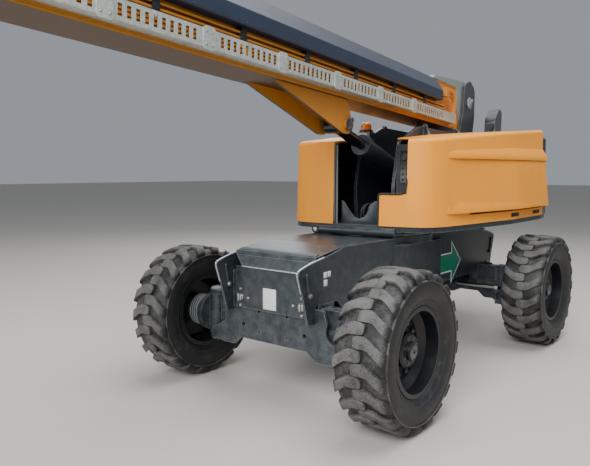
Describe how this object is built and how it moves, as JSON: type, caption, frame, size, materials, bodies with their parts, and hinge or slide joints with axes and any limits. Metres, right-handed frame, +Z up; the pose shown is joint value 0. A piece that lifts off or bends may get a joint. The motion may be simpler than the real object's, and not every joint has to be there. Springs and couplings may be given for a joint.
{
  "type": "telescopic boom lift",
  "caption": "Self-propelled telescopic boom lift: steered chassis, slewing turret with hoods and counterweight, extending boom with jib and a turning work platform.",
  "frame": {"origin": "middle of the underside of the outer box, on the ground", "axes": "+X forward along the chassis, close to the boom's direction; +Y to the left; +Z up"},
  "size_m": [10.8318, 3.2082, 2.8635],
  "materials": {
    "hood_yellow": "satin",
    "boom_yellow": "satin",
    "slate_grey": "satin",
    "rim_grey": "satin",
    "tyre": "matt",
    "bare_steel": "machined",
    "engine_iron": "cast",
    "black_plastic": "matt",
    "amber": "clear",
    "galvanised": "galvanised",
    "castings_grey": "satin",
    "cylinder_black": "gloss",
    "chrome_rod": "polished"
  },
  "bodies": {
    "chassis": {"chassis_frame": "slate_grey", "end_plates": "slate_grey", "end_covers": "slate_grey", "slewing_ring": "bare_steel", "axles": "slate_grey"},
    "front_steering": {"front_steering_rod": "chrome_rod"},
    "front_left_knuckle": {"front_left_knuckle": "slate_grey"},
    "front_left_wheel": {"front_left_tyre": "tyre", "front_left_rim": "rim_grey"},
    "front_right_knuckle": {"front_right_knuckle": "slate_grey"},
    "front_right_wheel": {"front_right_tyre": "tyre", "front_right_rim": "rim_grey"},
    "rear_steering": {"rear_steering_rod": "chrome_rod"},
    "rear_left_knuckle": {"rear_left_knuckle": "slate_grey"},
    "rear_left_wheel": {"rear_left_tyre": "tyre", "rear_left_rim": "rim_grey"},
    "rear_right_knuckle": {"rear_right_knuckle": "slate_grey"},
    "rear_right_wheel": {"rear_right_tyre": "tyre", "rear_right_rim": "rim_grey"},
    "turret": {"turret_frame": "slate_grey", "counterweight": "slate_grey", "engine_block": "engine_iron", "control_recess": "black_plastic", "beacon": "amber"},
    "left_hood": {"left_hood": "hood_yellow"},
    "right_hood": {"right_hood": "hood_yellow"},
    "boom": {"boom_base": "boom_yellow", "cable_tray": "galvanised", "side_pipes": "galvanised", "chain_cover": "black_plastic", "boom_rear_housing": "castings_grey"},
    "fly_1": {"fly_section_1": "boom_yellow"},
    "fly_2": {"fly_section_2": "boom_yellow"},
    "lift_barrel": {"lift_cylinder_barrel": "cylinder_black"},
    "lift_rod": {"lift_cylinder_rod": "chrome_rod"},
    "levelling_barrel": {"levelling_cylinder_barrel": "cylinder_black"},
    "levelling_rod": {"levelling_cylinder_rod": "chrome_rod"},
    "jib_knuckle": {"jib_knuckle": "castings_grey"},
    "jib_upper": {"jib_upper_arm": "boom_yellow"},
    "jib_lower": {"jib_lower_arm": "boom_yellow"},
    "jib_head": {"jib_head": "castings_grey"},
    "jib_barrel": {"jib_cylinder_barrel": "cylinder_black"},
    "jib_rod": {"jib_cylinder_rod": "chrome_rod"},
    "platform": {"platform_bracket": "castings_grey", "platform_floor": "castings_grey", "guard_rails": "castings_grey", "control_console": "black_plastic"},
    "gate": {"platform_gate": "castings_grey"}
  },
  "joints": [
    {"name": "front_left_steer", "type": "hinge", "parent": "chassis", "child": "front_left_knuckle", "pos_m": [-1.68505, 0.36882, 0.536], "axis": [0, 0, 1], "range_deg": [-25, 25]},
    {"name": "front_left_wheel_spin", "type": "hinge", "parent": "front_left_knuckle", "child": "front_left_wheel", "pos_m": [-1.68505, 0.64632, 0.536], "axis": [0, 1, 0], "continuous": true},
    {"name": "front_right_steer", "type": "hinge", "parent": "chassis", "child": "front_right_knuckle", "pos_m": [-1.68505, -1.06118, 0.536], "axis": [0, 0, 1], "range_deg": [-25, 25]},
    {"name": "front_right_wheel_spin", "type": "hinge", "parent": "front_right_knuckle", "child": "front_right_wheel", "pos_m": [-1.68505, -1.33868, 0.536], "axis": [0, 1, 0], "continuous": true},
    {"name": "front_steering_slide", "type": "slide", "parent": "chassis", "child": "front_steering", "axis": [0, 1, 0], "range_m": [-0.1, 0.1]},
    {"name": "rear_left_steer", "type": "hinge", "parent": "chassis", "child": "rear_left_knuckle", "pos_m": [-4.43505, 0.36882, 0.536], "axis": [0, 0, 1], "range_deg": [-25, 25]},
    {"name": "rear_left_wheel_spin", "type": "hinge", "parent": "rear_left_knuckle", "child": "rear_left_wheel", "pos_m": [-4.43505, 0.64632, 0.536], "axis": [0, 1, 0], "continuous": true},
    {"name": "rear_right_steer", "type": "hinge", "parent": "chassis", "child": "rear_right_knuckle", "pos_m": [-4.43505, -1.06118, 0.536], "axis": [0, 0, 1], "range_deg": [-25, 25]},
    {"name": "rear_right_wheel_spin", "type": "hinge", "parent": "rear_right_knuckle", "child": "rear_right_wheel", "pos_m": [-4.43505, -1.33868, 0.536], "axis": [0, 1, 0], "continuous": true},
    {"name": "rear_steering_slide", "type": "slide", "parent": "chassis", "child": "rear_steering", "axis": [0, 1, 0], "range_m": [-0.1, 0.1]},
    {"name": "slew", "type": "hinge", "parent": "chassis", "child": "turret", "pos_m": [-3.06005, -0.34618, 1.2], "axis": [0, 0, 1], "continuous": true},
    {"name": "left_hood_open", "type": "hinge", "parent": "turret", "child": "left_hood", "pos_m": [-3.08066, -0.13217, 2.13], "axis": [0.9954, 0.0958, 0], "range_deg": [0, 55]},
    {"name": "right_hood_open", "type": "hinge", "parent": "turret", "child": "right_hood", "pos_m": [-3.03944, -0.56019, 2.13], "axis": [-0.9954, -0.0958, 0], "range_deg": [0, 55]},
    {"name": "boom_lift", "type": "hinge", "parent": "turret", "child": "boom", "pos_m": [-4.85176, -0.5187, 2.45], "axis": [0.0958, -0.9954, 0], "range_deg": [-3, 70]},
    {"name": "fly_1_extend", "type": "slide", "parent": "boom", "child": "fly_1", "axis": [0.9945, 0.0958, 0.0419], "range_m": [0, 5]},
    {"name": "fly_2_extend", "type": "slide", "parent": "fly_1", "child": "fly_2", "axis": [0.9945, 0.0958, 0.0419], "range_m": [0, 5]},
    {"name": "lift_barrel_swing", "type": "hinge", "parent": "turret", "child": "lift_barrel", "pos_m": [-4.25453, -0.4612, 1.45], "axis": [0.0958, -0.9954, 0], "range_deg": [-4, 66]},
    {"name": "lift_rod_slide", "type": "slide", "parent": "lift_barrel", "child": "lift_rod", "axis": [0.9544, 0.0919, 0.2839], "range_m": [-0.08, 1.36]},
    {"name": "jib_level", "type": "hinge", "parent": "fly_2", "child": "jib_knuckle", "pos_m": [2.54221, 0.19326, 2.64923], "axis": [0.0958, -0.9954, 0], "range_deg": [-71, 4]},
    {"name": "levelling_barrel_swing", "type": "hinge", "parent": "fly_2", "child": "levelling_barrel", "pos_m": [1.98861, 0.13995, 2.54585], "axis": [0.0958, -0.9954, 0], "range_deg": [-2, 15]},
    {"name": "levelling_rod_slide", "type": "slide", "parent": "levelling_barrel", "child": "levelling_rod", "axis": [0.9919, 0.0955, -0.0837], "range_m": [-0.15, 0.02]},
    {"name": "jib_lift", "type": "hinge", "parent": "jib_knuckle", "child": "jib_upper", "pos_m": [2.73134, 0.21147, 2.71923], "axis": [-0.0958, 0.9954, 0], "range_deg": [-110, 25]},
    {"name": "jib_lower_swing", "type": "hinge", "parent": "jib_knuckle", "child": "jib_lower", "pos_m": [2.73134, 0.21147, 2.49923], "axis": [-0.0958, 0.9954, 0], "range_deg": [-110, 25]},
    {"name": "jib_head_level", "type": "hinge", "parent": "jib_upper", "child": "jib_head", "pos_m": [4.02762, 0.33628, 1.6265], "axis": [-0.0958, 0.9954, 0], "range_deg": [-25, 110]},
    {"name": "jib_barrel_swing", "type": "hinge", "parent": "jib_knuckle", "child": "jib_barrel", "pos_m": [2.73134, 0.21147, 2.49923], "axis": [-0.0958, 0.9954, 0], "range_deg": [-107, 25]},
    {"name": "jib_rod_slide", "type": "slide", "parent": "jib_barrel", "child": "jib_rod", "axis": [0.877, 0.0844, -0.473], "range_m": [-0.08, 0.34]},
    {"name": "platform_turn", "type": "hinge", "parent": "jib_head", "child": "platform", "pos_m": [4.24163, 0.35689, 1.51649], "axis": [0, 0, 1], "range_deg": [-85, 85]},
    {"name": "gate_open", "type": "hinge", "parent": "platform", "child": "gate", "pos_m": [4.51347, 1.5193, 0.7265], "axis": [0, 0, -1], "range_deg": [0, 85]}
  ],
  "couplings": [
    {"joint": "front_right_steer", "follows": "front_left_steer", "ratio": 1},
    {"joint": "front_steering_slide", "follows": "front_left_steer", "m_per_rad": -0.1937},
    {"joint": "rear_right_steer", "follows": "rear_left_steer", "ratio": 1},
    {"joint": "rear_steering_slide", "follows": "rear_left_steer", "m_per_rad": 0.1937},
    {"joint": "fly_2_extend", "follows": "fly_1_extend", "ratio": 1},
    {"joint": "lift_barrel_swing", "follows": "boom_lift", "ratio": 0.9151},
    {"joint": "lift_rod_slide", "follows": "boom_lift", "m_per_rad": 1.0841},
    {"joint": "jib_level", "follows": "boom_lift", "ratio": -1},
    {"joint": "levelling_barrel_swing", "follows": "boom_lift", "ratio": 0.18206},
    {"joint": "levelling_rod_slide", "follows": "boom_lift", "m_per_rad": -0.10819},
    {"joint": "jib_lower_swing", "follows": "jib_lift", "ratio": 1},
    {"joint": "jib_head_level", "follows": "jib_lift", "ratio": -1},
    {"joint": "jib_barrel_swing", "follows": "jib_lift", "ratio": 0.9606},
    {"joint": "jib_rod_slide", "follows": "jib_lift", "m_per_rad": -0.1712}
  ]
}
